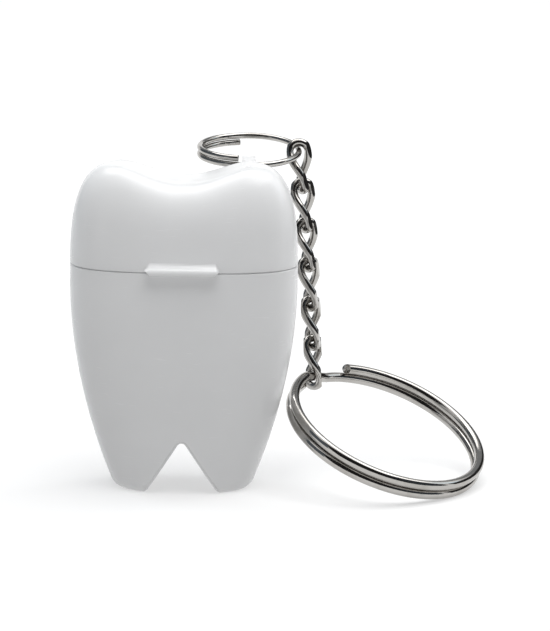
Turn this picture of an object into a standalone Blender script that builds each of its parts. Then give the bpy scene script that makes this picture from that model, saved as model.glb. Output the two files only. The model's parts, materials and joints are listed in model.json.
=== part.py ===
"""Dental floss keychain: a tooth-shaped case with a hinged lid, a floss bobbin
inside, and a curb chain with two split rings. Metres, +Z up. The case stands on
its two roots at z = 0 and faces -Y; the chain hangs down its +X side."""

import math

import bmesh
import bpy
from mathutils import Matrix, Vector

# Tooth-shaped case. Its lower half is as high as the notch, the bobbin and the
# insert need, and the lid comes on top.
LID_HEIGHT = 0.0132
TOOTH_WIDTH = 0.0304
TOOTH_DEPTH = 0.0168
SEAM_GAP = 0.0003
RIM_CHAMFER = 0.00015
BELLY_DROP = 0.0026
SHOULDER_DROP = 0.0014
VALLEY_DROP = 0.0022
ROOT_TAPER_SHARE = 0.397
ROOT_TAPER_POWER = 1.93
CROWN_FLAT_SHARE = 0.57
CROWN_SQUARENESS = 2.85
CROWN_INNER_SHARES = (0.40, 0.20)
PLAN_SQUARENESS = 2.7
VALLEY_POWER = 1.4
VALLEY_FADE = 3
FOOT_CORNER_RADIUS = 0.0012
FOOT_EDGE_RADIUS = 0.0006

# Notch between the roots
NOTCH_HEIGHT = 0.0072
NOTCH_APEX_RADIUS = 0.0006
NOTCH_HALF_ANGLE = math.radians(31.7)
NOTCH_CORNER_RADIUS = 0.0008
NOTCH_EDGE_RADIUS = 0.0006

# Walls of the case
BODY_WALL = 0.0015
BODY_RIM_WALL = 0.0009
LID_WALL = 0.0013
LID_ROOF = 0.0014
REBATE_DEPTH = 0.0022
NOTCH_ROOF = 0.0019
CAVITY_FILLET = 0.0012

# Thumb tab on the lid
TAB_WIDTH = 0.0098
TAB_HEIGHT = 0.00125
TAB_PROUD = 0.0011
TAB_END_TAPER = 0.0006
TAB_EDGE = 0.0003
TAB_ROOT = 0.0006

# Hinge at the back of the seam
HINGE_STANDOFF = 0.00115
KNUCKLE_RADIUS = 0.0014
HINGE_LENGTH = 0.0100
LID_KNUCKLE_LENGTH = 0.0048
KNUCKLE_GAP = 0.00025
KNUCKLE_WEB = 0.0036
KNUCKLE_ROOT = 0.0006
PIN_DIAMETER = 0.0010
PIN_CLEARANCE = 0.00012
PIN_SHORTFALL = 0.0002
LID_OPENING = math.radians(110)

# Insert in the mouth of the body
INSERT_CLEARANCE = 0.00025
INSERT_THICKNESS = 0.0012
COLLAR_RISE = 0.0012
COLLAR_THICKNESS = 0.0009
OUTLET_PLACE = -0.0055
OUTLET_DIAMETER = 0.0020
OUTLET_BOSS_DIAMETER = 0.0044
OUTLET_BOSS_RISE = 0.0009
CHEEK_WALL_GAP = 0.00045
CHEEK_THICKNESS = 0.0009
CHEEK_WIDTH = 0.0080
CHEEK_DROP = 0.0038
CHEEK_GAP = 0.0004
STUB_LENGTH = 0.0017

# Cutter blade
BLADE_THICKNESS = 0.0003
BLADE_WIDTH = 0.0046
BLADE_RISE = 0.0040
BLADE_FOOT = 0.0030
BLADE_PLACE = 0.0030
BLADE_NOTCH_WIDTH = 0.0016
BLADE_NOTCH_DEPTH = 0.0017
BLADE_BEND_RADIUS = 0.0005

# Bobbin and winding
BOBBIN_RADIUS = 0.0085
BOBBIN_FLOOR_GAP = 0.0012
BOBBIN_HEADROOM = 0.00145
FLANGE_THICKNESS = 0.0008
HUB_RADIUS = 0.0030
BORE_RADIUS = 0.0019
STUB_CLEARANCE = 0.00025
WINDING_SHORTFALL = 0.0008
WINDING_GAP = 0.00025
WINDING_CROWN = 0.0004

# Small split ring and the ear that it passes through
SMALL_RING_DIAMETER = 0.0145
SMALL_WIRE_DIAMETER = 0.00085
SMALL_COIL_GAP = 0.00008
SMALL_RING_TILT = math.radians(4.8)
SMALL_RING_SPARE = math.radians(12)
EAR_STANDOFF = 0.0010
EAR_DROP = 0.00155
EAR_THICKNESS = 0.0018
EAR_RADIUS = 0.00125
EAR_BORE_CLEARANCE = 0.00025
EAR_ROOT_DEPTH = 0.00265
EAR_ROOT_HEIGHT = 0.0024

# Curb chain
LINK_COUNT = 6
LINK_WIRE_DIAMETER = 0.00112
LINK_WIDTH = 0.0038
LINK_PITCH = 0.00542
LINK_CLEARANCE = 0.00015
LINK_TWIST = math.radians(112)
LINK_FLAT_SPACING = 0.0025
LINK_FACING = math.radians(240)
LINK_FACING_STEP = math.radians(5)
CHAIN_PLACE_ANGLE = math.radians(3)
CHAIN_LEAN_FORWARD = math.radians(10.7)
CHAIN_LEAN_OUT = math.radians(6.3)
CHAIN_LEAN_STEP = math.radians(0.7)

# Key ring
KEY_RING_DIAMETER = 0.0283
KEY_WIRE_DIAMETER = 0.00137
KEY_COIL_GAP = 0.00008
KEY_RING_HEADING = math.radians(-39.7)
KEY_RING_PLACE_ANGLE = math.radians(3)

# The tooth's middle, so that the whole lies round the origin
CASE_PLACE = (-0.01297, -0.00652, 0)

# Modelling
AROUND = 56
ROUND_STEPS = 40
CUT_OVERRUN = 0.0010
MERGE_DISTANCE = 0.00001

PART_COLLECTION = "dental_floss_keychain"
CUTTER_COLLECTION = "cutters"


def clear_scene():
    for thing in list(bpy.data.objects):
        bpy.data.objects.remove(thing, do_unlink=True)
    for name in (PART_COLLECTION, CUTTER_COLLECTION):
        if name not in bpy.data.collections:
            bpy.context.scene.collection.children.link(bpy.data.collections.new(name))


def make_material(name, colour, roughness, metallic=0.0):
    material = bpy.data.materials.new(name)
    material.use_nodes = True
    shader = material.node_tree.nodes["Principled BSDF"]
    shader.inputs["Base Color"].default_value = (*colour, 1.0)
    shader.inputs["Roughness"].default_value = roughness
    shader.inputs["Metallic"].default_value = metallic
    return material


def add_object(name, data, collection, material=None):
    thing = bpy.data.objects.new(name, data)
    bpy.data.collections[collection].objects.link(thing)
    if material is not None and not data.materials:
        data.materials.append(material)
    if collection == CUTTER_COLLECTION:
        thing.hide_render = True
        thing.display_type = "WIRE"
    return thing


def mesh_from(name, bm, sharp_angle=math.radians(35)):
    bmesh.ops.recalc_face_normals(bm, faces=bm.faces)
    mesh = bpy.data.meshes.new(name)
    bm.to_mesh(mesh)
    bm.free()
    mesh.shade_smooth()
    mesh.set_sharp_from_angle(angle=sharp_angle)
    return mesh


def add_boolean(thing, operand, operation):
    modifier = thing.modifiers.new(f"{operation.lower()}_{operand.name}", "BOOLEAN")
    modifier.object = operand
    modifier.operation = operation
    modifier.solver = "EXACT"


def loft(rings, first_point=None, last_point=None):
    """A closed skin through rings of equal counts. An end closes on its point,
    or with one flat face where it has none."""
    bm = bmesh.new()
    loops = [[bm.verts.new(point) for point in ring] for ring in rings]
    count = len(loops[0])
    for lower, upper in zip(loops, loops[1:]):
        for i in range(count):
            j = (i + 1) % count
            bm.faces.new((lower[i], lower[j], upper[j], upper[i]))
    for loop, point in ((loops[0], first_point), (loops[-1], last_point)):
        if point is None:
            bm.faces.new(loop)
            continue
        centre = bm.verts.new(point)
        for i in range(count):
            bm.faces.new((loop[i], loop[(i + 1) % count], centre))
    return bm


def prism(outline, axis, start, end):
    """A flat outline carried from start to end along an axis. On X the outline
    is (y, z) points, and on Y it is (x, z) points."""
    bm = bmesh.new()
    if axis == "X":
        points = [(start, a, b) for a, b in outline]
        travel = (end - start, 0, 0)
    else:
        points = [(a, start, b) for a, b in outline]
        travel = (0, end - start, 0)
    face = bm.faces.new([bm.verts.new(point) for point in points])
    made = bmesh.ops.extrude_face_region(bm, geom=[face])["geom"]
    moved = [v for v in made if isinstance(v, bmesh.types.BMVert)]
    bmesh.ops.translate(bm, verts=moved, vec=travel)
    return bm


def cylinder(radius, axis, start, end, centre):
    """A round bar along X, Y or Z; centre gives its two other coordinates in
    order."""
    bm = bmesh.new()
    bmesh.ops.create_cone(
        bm,
        cap_ends=True,
        segments=ROUND_STEPS,
        radius1=radius,
        radius2=radius,
        depth=end - start,
    )
    middle = (start + end) / 2
    if axis == "X":
        place = Matrix.Translation((middle, *centre)) @ Matrix.Rotation(math.pi / 2, 4, "Y")
    elif axis == "Y":
        place = Matrix.Translation((centre[0], middle, centre[1])) @ Matrix.Rotation(math.pi / 2, 4, "X")
    else:
        place = Matrix.Translation((*centre, middle))
    bmesh.ops.transform(bm, matrix=place, verts=bm.verts)
    return bm


def arc(centre, radius, start, end, steps):
    """Points of a flat arc, both ends included."""
    turn = end - start
    return [
        (
            centre[0] + radius * math.cos(start + turn * i / steps),
            centre[1] + radius * math.sin(start + turn * i / steps),
        )
        for i in range(steps + 1)
    ]


def cavity_floor():
    return NOTCH_HEIGHT + NOTCH_ROOF


def bobbin_height():
    """The bobbin's axis, over the floor of the cavity."""
    return cavity_floor() + BOBBIN_FLOOR_GAP + BOBBIN_RADIUS


def insert_heights():
    """Underside and top of the insert's plate."""
    low = bobbin_height() + BOBBIN_RADIUS + BOBBIN_HEADROOM
    return low, low + INSERT_THICKNESS


def ledge_height():
    """The ledge inside the body's rim that the insert rests on."""
    return insert_heights()[0] - INSERT_CLEARANCE


def seam_height():
    return ledge_height() + REBATE_DEPTH


def tooth_height():
    return seam_height() + LID_HEIGHT


def belly_height():
    return seam_height() - BELLY_DROP


def shoulder_height():
    return seam_height() - SHOULDER_DROP


def ear_place():
    """The middle of the ear's hole. The ring that it holds brings the chain to
    the side of the tooth."""
    x = TOOTH_WIDTH / 2 - small_ring_radius() * math.cos(CHAIN_PLACE_ANGLE)
    return Vector((x, TOOTH_DEPTH / 2 + EAR_STANDOFF, tooth_height() - EAR_DROP))


def signed_power(value, power):
    return math.copysign(abs(value) ** power, value)


def flank_share(height):
    """How wide the tooth is at a height below the shoulder, as a share of its
    widest section."""
    below = max(0.0, 1 - height / belly_height())
    return 1 - ROOT_TAPER_SHARE * below**ROOT_TAPER_POWER


def plan_ring(share, inset, height, depth_inset=None):
    """One level section of the tooth: a rounded rectangle, pulled in by inset."""
    half_width = TOOTH_WIDTH / 2 * share - inset
    half_depth = TOOTH_DEPTH / 2 * share - (inset if depth_inset is None else depth_inset)
    ring = []
    for i in range(AROUND):
        angle = 2 * math.pi * (i + 0.5) / AROUND
        x = half_width * signed_power(math.cos(angle), 2 / PLAN_SQUARENESS)
        y = half_depth * signed_power(math.sin(angle), 2 / PLAN_SQUARENESS)
        ring.append(Vector((x, y, height)))
    return ring


def valley(x):
    """The dip between the two cusps, from 1 at the middle to 0 at a cusp."""
    reach = min(1.0, abs(x) / (CROWN_FLAT_SHARE * TOOTH_WIDTH / 2))
    return math.cos(math.pi / 2 * reach) ** VALLEY_POWER


def crown_ring(rise, share, wall=0.0, roof=0.0):
    """One ring of the crown. Rise goes from 0 at the shoulder to 1 on top."""
    ring = plan_ring(share, wall, 0)
    top = tooth_height() - roof - shoulder_height()
    for point in ring:
        dip = VALLEY_DROP * valley(point.x) * rise**VALLEY_FADE
        point.z = shoulder_height() + rise * top - dip
    return ring


def crown_rings(first_height, steps, wall=0.0, roof=0.0):
    """The crown's rings from a height just over the shoulder up to the top."""
    top = tooth_height() - roof - shoulder_height()
    lowest = (first_height - shoulder_height()) / top
    first = math.asin(lowest ** (CROWN_SQUARENESS / 2))
    rings = []
    for i in range(steps + 1):
        angle = first + (math.pi / 2 - first) * i / steps
        rise = math.sin(angle) ** (2 / CROWN_SQUARENESS)
        side = max(0.0, math.cos(angle)) ** (2 / CROWN_SQUARENESS)
        share = CROWN_FLAT_SHARE + (1 - CROWN_FLAT_SHARE) * side
        rings.append(crown_ring(rise, share, wall, roof))
    for inner_share in CROWN_INNER_SHARES:
        share = inner_share + wall / (TOOTH_DEPTH / 2) * (1 - inner_share / CROWN_FLAT_SHARE)
        rings.append(crown_ring(1.0, share, wall, roof))
    return rings


def roof_point(roof=0.0):
    return (0, 0, tooth_height() - roof - VALLEY_DROP)


def hinge_place():
    """Where the hinge's axis crosses the (y, z) plane."""
    return TOOTH_DEPTH / 2 + HINGE_STANDOFF, seam_height()


def knuckle_outline(upward):
    """A knuckle with the web that blends it into the wall below or above it."""
    y, z = hinge_place()
    turn = 1 if upward else -1
    root_y = TOOTH_DEPTH / 2 - KNUCKLE_ROOT
    first = math.radians(40) * turn
    last = first - (math.radians(40) + math.pi) * turn
    outline = arc((y, z), KNUCKLE_RADIUS, first, last, 14)
    outline += [
        (root_y, z),
        (root_y, z + KNUCKLE_WEB * turn),
        (root_y + KNUCKLE_ROOT / 2, z + KNUCKLE_WEB * turn),
    ]
    return outline


def foot_side(height):
    """How far the rounding of a foot has gone at a height: 1 on the floor and 0
    over the rounding."""
    rest = 1 - max(0.0, height) / FOOT_CORNER_RADIUS
    return 1 - math.sqrt(1 - rest**2) if rest > 0 else 0.0


def body_depth_at(x, height):
    """How far the body's skin stands from the middle plane at a place on it."""
    share = flank_share(height)
    side = foot_side(height)
    half_width = TOOTH_WIDTH / 2 * share - FOOT_CORNER_RADIUS * side
    half_depth = TOOTH_DEPTH / 2 * share - FOOT_EDGE_RADIUS * side
    reach = min(1.0, abs(x) / half_width)
    return half_depth * (1 - reach**PLAN_SQUARENESS) ** (1 / PLAN_SQUARENESS)


def notch_side():
    """The right half of the notch, apex first: each point with the direction
    into the material and how much of the edge rounding it takes."""
    half = NOTCH_HALF_ANGLE
    apex = Vector((0, NOTCH_HEIGHT - NOTCH_APEX_RADIUS))
    side = []
    for i in range(5):
        angle = math.pi / 2 + (half - math.pi / 2) * i / 4
        way = Vector((math.cos(angle), math.sin(angle)))
        side.append((apex + way * NOTCH_APEX_RADIUS, way, 1.0))
    into = Vector((math.cos(half), math.sin(half)))
    down = Vector((math.sin(half), -math.cos(half)))
    start = side[-1][0]
    corner_point_height = NOTCH_CORNER_RADIUS * (1 - math.sin(half))
    wall_length = (start.y - corner_point_height) / math.cos(half)
    for share in (0.35, 0.7, 1.0):
        side.append((start + down * (wall_length * share), into, 1.0))
    centre = side[-1][0] + into * NOTCH_CORNER_RADIUS
    for i in (1, 2, 3):
        angle = math.pi + half + (math.pi / 2 - half) * i / 3.4
        way = -Vector((math.cos(angle), math.sin(angle)))
        side.append((centre - way * NOTCH_CORNER_RADIUS, way, 1 - i / 3))
    low = side[-1][0]
    side.append((Vector((low.x, -CUT_OVERRUN)), Vector((1, 0)), 0.0))
    return side


def notch_ring(rounding, beyond):
    """One loop of the notch's cutter on its way out through the skin: rounding
    is the angle round the edge, and beyond is how far past the skin it lies."""
    right = []
    for point, way, weight in notch_side():
        offset = NOTCH_EDGE_RADIUS * (1 - math.cos(rounding)) * weight
        spot = point + way * offset
        depth = body_depth_at(spot.x, spot.y)
        depth += NOTCH_EDGE_RADIUS * (math.sin(rounding) - 1) + beyond
        right.append(Vector((spot.x, depth, spot.y)))
    left = [Vector((-p.x, p.y, p.z)) for p in reversed(right[1:])]
    return right + left


def notch_cutter():
    """The notch runs right through from front to back, with round edges."""
    roundings = [math.radians(a) for a in (0, 25, 50, 70)]
    back = [notch_ring(a, 0.0) for a in roundings]
    back.append(notch_ring(roundings[-1], 2 * CUT_OVERRUN))
    front = [[Vector((p.x, -p.y, p.z)) for p in ring] for ring in reversed(back)]
    return mesh_from("notch_cutter", loft(front + back))


def make_body(white):
    rim_height = seam_height() - SEAM_GAP / 2
    rings = []
    for i in range(5):
        height = FOOT_CORNER_RADIUS * (1 - math.cos(math.pi / 2 * i / 5))
        side = foot_side(height)
        share = flank_share(height)
        rings.append(plan_ring(share, FOOT_CORNER_RADIUS * side, height, FOOT_EDGE_RADIUS * side))
    for i in range(11):
        height = FOOT_CORNER_RADIUS + (rim_height - RIM_CHAMFER - FOOT_CORNER_RADIUS) * i / 10
        rings.append(plan_ring(flank_share(height), 0, height))
    rings.append(plan_ring(1, RIM_CHAMFER, rim_height))
    rings.append(plan_ring(1, BODY_RIM_WALL, rim_height))
    rings.append(plan_ring(1, BODY_RIM_WALL, ledge_height()))
    floor = cavity_floor()
    lowest = floor + CAVITY_FILLET
    for i in range(8):
        height = ledge_height() + (lowest - ledge_height()) * i / 7
        rings.append(plan_ring(flank_share(height), BODY_WALL, height))
    rings.append(plan_ring(flank_share(lowest), BODY_WALL + CAVITY_FILLET, floor))
    mesh = mesh_from("body", loft(rings))
    body = add_object("body", mesh, PART_COLLECTION, white)

    inner = LID_KNUCKLE_LENGTH / 2 + KNUCKLE_GAP
    for side, start, end in (
        ("right", inner, HINGE_LENGTH / 2),
        ("left", -HINGE_LENGTH / 2, -inner),
    ):
        bm = prism(knuckle_outline(False), "X", start, end)
        add_boolean(body, helper(f"body_knuckle_{side}", bm), "UNION")
    add_boolean(body, clearance_cutter("lid_knuckle_clearance", -inner, inner), "DIFFERENCE")
    add_boolean(body, pin_bore_cutter("body_pin_bore"), "DIFFERENCE")
    add_boolean(body, add_object("notch_cutter", notch_cutter(), CUTTER_COLLECTION), "DIFFERENCE")
    return body


def helper(name, bm):
    return add_object(name, mesh_from(name, bm), CUTTER_COLLECTION)


def clearance_cutter(name, start, end):
    """Room in one half of the case for the other half's knuckle to turn."""
    radius = KNUCKLE_RADIUS + KNUCKLE_GAP
    return helper(name, cylinder(radius, "X", start, end, hinge_place()))


def pin_bore_cutter(name):
    radius = PIN_DIAMETER / 2 + PIN_CLEARANCE
    reach = HINGE_LENGTH / 2 + CUT_OVERRUN
    return helper(name, cylinder(radius, "X", -reach, reach, hinge_place()))


def moved_mesh(thing, place):
    """Puts an object's origin at a place and leaves its shape where it is."""
    thing.data.transform(Matrix.Translation(-Vector(place)))
    thing.location = place
    return thing


def baked(thing):
    """The object with its modifiers made part of its mesh."""
    graph = bpy.context.evaluated_depsgraph_get()
    graph.update()
    mesh = bpy.data.meshes.new_from_object(thing.evaluated_get(graph))
    mesh.name = thing.name
    thing.modifiers.clear()
    thing.data = mesh
    return thing


def tab_outline():
    half = TAB_WIDTH / 2
    low = seam_height() + SEAM_GAP / 2
    high = low + TAB_HEIGHT
    middle = low + TAB_HEIGHT * 0.45
    return [
        (-half + TAB_END_TAPER, low),
        (half - TAB_END_TAPER, low),
        (half, middle),
        (half - TAB_END_TAPER, high),
        (-half + TAB_END_TAPER, high),
        (-half, middle),
    ]


def thumb_tab():
    front = -TOOTH_DEPTH / 2 - TAB_PROUD
    bm = prism(tab_outline(), "Y", front, -TOOTH_DEPTH / 2 + TAB_ROOT)
    edges = [e for e in bm.edges if all(v.co.y < front + TAB_EDGE for v in e.verts)]
    bmesh.ops.bevel(
        bm,
        geom=edges,
        offset=TAB_EDGE,
        offset_type="OFFSET",
        segments=2,
        profile=0.5,
        affect="EDGES",
        material=-1,
    )
    return bm


def ear_outline():
    """The ear in side view: round at its hole, wider where it leaves the lid."""
    _, y, z = ear_place()
    root = TOOTH_DEPTH / 2 - EAR_ROOT_DEPTH
    outline = arc((y, z), EAR_RADIUS, math.radians(-100), math.radians(80), 12)
    outline += [
        (root, z + EAR_RADIUS / 2),
        (root, z - EAR_ROOT_HEIGHT),
    ]
    return outline


def make_lid(white):
    rim_height = seam_height() + SEAM_GAP / 2
    outer = crown_rings(rim_height + RIM_CHAMFER, 13)
    inner = crown_rings(rim_height + RIM_CHAMFER, 9, LID_WALL, LID_ROOF)
    rings = list(reversed(outer))
    rings.append(plan_ring(1, RIM_CHAMFER, rim_height))
    rings.append(plan_ring(1, LID_WALL, rim_height))
    rings += inner
    mesh = mesh_from("lid", loft(rings, roof_point(), roof_point(LID_ROOF)))
    lid = add_object("lid", mesh, PART_COLLECTION, white)

    half = LID_KNUCKLE_LENGTH / 2
    end = HINGE_LENGTH / 2 + KNUCKLE_GAP
    ear_x = ear_place().x
    add_boolean(lid, helper("thumb_tab", thumb_tab()), "UNION")
    bm = prism(knuckle_outline(True), "X", -half, half)
    add_boolean(lid, helper("lid_knuckle", bm), "UNION")
    bm = prism(ear_outline(), "X", ear_x - EAR_THICKNESS / 2, ear_x + EAR_THICKNESS / 2)
    add_boolean(lid, helper("ring_ear", bm), "UNION")
    add_boolean(lid, clearance_cutter("right_knuckle_clearance", half, end), "DIFFERENCE")
    add_boolean(lid, clearance_cutter("left_knuckle_clearance", -end, -half), "DIFFERENCE")
    add_boolean(lid, pin_bore_cutter("lid_pin_bore"), "DIFFERENCE")
    bore = SMALL_WIRE_DIAMETER / 2 + EAR_BORE_CLEARANCE
    reach = EAR_THICKNESS / 2 + CUT_OVERRUN
    bm = cylinder(bore, "X", ear_x - reach, ear_x + reach, ear_place().yz)
    add_boolean(lid, helper("ear_bore", bm), "DIFFERENCE")
    return moved_mesh(baked(lid), (0, *hinge_place()))


def make_hinge_pin(steel):
    half = HINGE_LENGTH / 2 - PIN_SHORTFALL
    bm = cylinder(PIN_DIAMETER / 2, "X", -half, half, (0, 0))
    pin = add_object("hinge_pin", mesh_from("hinge_pin", bm), PART_COLLECTION, steel)
    pin.location = (0, *hinge_place())
    return pin


def bobbin_width():
    """The bobbin leaves room for the cheeks where the cavity is narrowest
    beside them."""
    lowest = bobbin_height() - CHEEK_DROP
    room = TOOTH_DEPTH / 2 * flank_share(lowest) - BODY_WALL - CHEEK_WALL_GAP
    return 2 * (room - CHEEK_THICKNESS - CHEEK_GAP)


def make_insert(white):
    low, high = insert_heights()
    edge = BODY_RIM_WALL + INSERT_CLEARANCE
    collar_outside = LID_WALL + INSERT_CLEARANCE
    collar_inside = collar_outside + COLLAR_THICKNESS
    collar_top = seam_height() + COLLAR_RISE
    rings = [
        plan_ring(1, edge, low),
        plan_ring(1, edge, high),
        plan_ring(1, collar_outside, high),
        plan_ring(1, collar_outside, collar_top - RIM_CHAMFER),
        plan_ring(1, collar_outside + RIM_CHAMFER, collar_top),
        plan_ring(1, collar_inside, collar_top),
        plan_ring(1, collar_inside, high),
    ]
    mesh = mesh_from("insert_frame", loft(rings))
    insert = add_object("insert_frame", mesh, PART_COLLECTION, white)

    inner_face = bobbin_width() / 2 + CHEEK_GAP
    bottom = bobbin_height()
    half = CHEEK_WIDTH / 2
    outline = arc((0, bottom), half, math.pi, 2 * math.pi, 16)
    outline = [(x, max(z, bottom - CHEEK_DROP)) for x, z in outline]
    outline += [(half, low + INSERT_THICKNESS / 2), (-half, low + INSERT_THICKNESS / 2)]
    stub_radius = BORE_RADIUS - STUB_CLEARANCE
    for side, way in (("front", -1), ("back", 1)):
        near, far = way * inner_face, way * (inner_face + CHEEK_THICKNESS)
        bm = prism(outline, "Y", min(near, far), max(near, far))
        add_boolean(insert, helper(f"cheek_{side}", bm), "UNION")
        tip = way * (inner_face - STUB_LENGTH)
        buried = way * (inner_face + CHEEK_THICKNESS / 2)
        bm = cylinder(stub_radius, "Y", min(tip, buried), max(tip, buried), (0, bobbin_height()))
        add_boolean(insert, helper(f"stub_{side}", bm), "UNION")

    centre = (OUTLET_PLACE, 0)
    top = high + OUTLET_BOSS_RISE
    bm = cylinder(OUTLET_BOSS_DIAMETER / 2, "Z", low + INSERT_THICKNESS / 2, top, centre)
    add_boolean(insert, helper("outlet_boss", bm), "UNION")
    bm = cylinder(OUTLET_DIAMETER / 2, "Z", low - CUT_OVERRUN, top + CUT_OVERRUN, centre)
    add_boolean(insert, helper("outlet_bore", bm), "DIFFERENCE")
    return insert


def make_cutter_blade(steel):
    """A stamped steel angle: its foot lies on the insert, and its upright has
    the V that catches and cuts the floss."""
    _, high = insert_heights()
    base = high + INSERT_CLEARANCE
    x = BLADE_PLACE
    t = BLADE_THICKNESS
    bend = (x + BLADE_BEND_RADIUS, base + BLADE_BEND_RADIUS)
    outside = arc(bend, BLADE_BEND_RADIUS, math.pi, 1.5 * math.pi, 4)
    inside = arc(bend, BLADE_BEND_RADIUS - t, 1.5 * math.pi, math.pi, 4)
    outline = [(x, base + BLADE_RISE)]
    outline += outside
    outline += [(x + BLADE_FOOT, base), (x + BLADE_FOOT, base + t)]
    outline += inside
    outline += [(x + t, base + BLADE_RISE)]
    bm = prism(outline, "Y", -BLADE_WIDTH / 2, BLADE_WIDTH / 2)
    blade = add_object("cutter_blade", mesh_from("cutter_blade", bm), PART_COLLECTION, steel)
    top = base + BLADE_RISE
    side = BLADE_NOTCH_WIDTH / 2 * (1 + CUT_OVERRUN / BLADE_NOTCH_DEPTH)
    notch = [(-side, top + CUT_OVERRUN), (side, top + CUT_OVERRUN), (0, top - BLADE_NOTCH_DEPTH)]
    bm = prism(notch, "X", x - CUT_OVERRUN, x + t + CUT_OVERRUN)
    add_boolean(blade, helper("blade_notch", bm), "DIFFERENCE")
    return blade


def turned(name, profile, material):
    """A closed (radius, width) profile turned round the Y axis."""
    mesh = bpy.data.meshes.new(name)
    points = [(radius, y, 0) for radius, y in profile]
    count = len(points)
    mesh.from_pydata(points, [(i, (i + 1) % count) for i in range(count)], [])
    thing = add_object(name, mesh, PART_COLLECTION, material)
    screw = thing.modifiers.new("turn", "SCREW")
    screw.axis = "Y"
    screw.steps = ROUND_STEPS
    screw.render_steps = ROUND_STEPS
    screw.use_merge_vertices = True
    screw.merge_threshold = MERGE_DISTANCE
    return thing


def make_bobbin(white):
    half = bobbin_width() / 2
    seat = half - FLANGE_THICKNESS
    profile = [
        (BOBBIN_RADIUS, half),
        (BOBBIN_RADIUS, seat),
        (HUB_RADIUS, seat),
        (HUB_RADIUS, -seat),
        (BOBBIN_RADIUS, -seat),
        (BOBBIN_RADIUS, -half),
        (BORE_RADIUS, -half),
        (BORE_RADIUS, half),
    ]
    bobbin = turned("bobbin", profile, white)
    bobbin.location = (0, 0, bobbin_height())
    return bobbin


def make_winding(floss):
    half = bobbin_width() / 2 - FLANGE_THICKNESS - WINDING_GAP
    radius = BOBBIN_RADIUS - WINDING_SHORTFALL
    crown = [
        (
            radius + WINDING_CROWN * (1 - (2 * i / 6 - 1) ** 2),
            half * (1 - 2 * i / 6),
        )
        for i in range(7)
    ]
    inner = HUB_RADIUS + WINDING_GAP
    winding = turned("floss_winding", crown + [(inner, -half), (inner, half)], floss)
    return winding


def wire_object(name, points, radius, cyclic, material):
    """A round wire through points, made a closed mesh."""
    curve = bpy.data.curves.new(name, "CURVE")
    curve.dimensions = "3D"
    curve.bevel_depth = radius
    curve.bevel_resolution = 2
    curve.use_fill_caps = not cyclic
    curve.twist_mode = "MINIMUM"
    spline = curve.splines.new("POLY")
    spline.points.add(len(points) - 1)
    for spot, point in zip(spline.points, points):
        spot.co = (*point, 1)
    spline.use_cyclic_u = cyclic
    drawn = bpy.data.objects.new(f"{name}_wire", curve)
    bpy.context.scene.collection.objects.link(drawn)
    graph = bpy.context.evaluated_depsgraph_get()
    graph.update()
    mesh = bpy.data.meshes.new_from_object(drawn.evaluated_get(graph))
    bpy.data.objects.remove(drawn, do_unlink=True)
    bm = bmesh.new()
    bm.from_mesh(mesh)
    bmesh.ops.remove_doubles(bm, verts=bm.verts, dist=radius / 100)
    bpy.data.meshes.remove(mesh)
    mesh = mesh_from(name, bm)
    return add_object(name, mesh, PART_COLLECTION, material)


def smooth_step(value):
    value = min(1.0, max(0.0, value))
    return value * value * (3 - 2 * value)


def coil_level(angle, spacing, climb_start, climb_end):
    """A coil's height: half the spacing low before its climb and high after."""
    return spacing * (smooth_step((angle - climb_start) / (climb_end - climb_start)) - 0.5)


def coil_points(radius, start, end, spacing, climb_start, climb_end, steps):
    """A flat coil seen from +Z, turned anticlockwise from start to end."""
    points = []
    for i in range(steps + 1):
        angle = start + (end - start) * i / steps
        level = coil_level(angle, spacing, climb_start, climb_end)
        points.append(Vector((radius * math.cos(angle), radius * math.sin(angle), level)))
    return points


def small_ring_radius():
    return (SMALL_RING_DIAMETER - SMALL_WIRE_DIAMETER) / 2


def small_coil():
    """The small coil's spacing, and the angles between which it climbs."""
    spacing = SMALL_WIRE_DIAMETER + SMALL_COIL_GAP
    return spacing, 1.5 * math.pi + SMALL_RING_SPARE, 2.5 * math.pi


def small_ring_frame():
    """The ring's own frame, with its centre behind the ear and its rear raised."""
    tilt = Matrix.Rotation(SMALL_RING_TILT, 4, "X")
    to_centre = tilt @ Vector((0, small_ring_radius(), 0))
    return Matrix.Translation(ear_place() + to_centre) @ tilt


def make_small_ring(steel):
    """One and a half turns. The wire starts low at the back, passes the ear at
    the front, climbs over the right half and ends high beside the ear."""
    spacing, climb_start, climb_end = small_coil()
    points = coil_points(
        small_ring_radius(),
        math.pi / 2 + SMALL_RING_SPARE,
        3.5 * math.pi - SMALL_RING_SPARE,
        spacing,
        climb_start,
        climb_end,
        50,
    )
    frame = small_ring_frame()
    lowered = spacing / 2
    origin = ear_place()
    points = [frame @ (p + Vector((0, 0, lowered))) - origin for p in points]
    ring = wire_object("small_split_ring", points, SMALL_WIRE_DIAMETER / 2, False, steel)
    ring.location = origin
    return ring


def chain_start():
    """The middle of the small ring's wire where the first link hangs on it."""
    spacing, climb_start, climb_end = small_coil()
    x = small_ring_radius() * math.cos(CHAIN_PLACE_ANGLE)
    y = small_ring_radius() * math.sin(CHAIN_PLACE_ANGLE)
    level = coil_level(2 * math.pi + CHAIN_PLACE_ANGLE, spacing, climb_start, climb_end)
    return small_ring_frame() @ Vector((x, y, level + spacing / 2))


def link_direction(index):
    """Down a link. The chain leans forward, and away from the tooth, which it
    does less and less."""
    forward = math.tan(CHAIN_LEAN_FORWARD)
    outward = math.tan(CHAIN_LEAN_OUT - CHAIN_LEAN_STEP * index)
    return Vector((outward, -forward, -1)).normalized()


def link_inner_length():
    return LINK_PITCH + LINK_CLEARANCE


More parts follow.
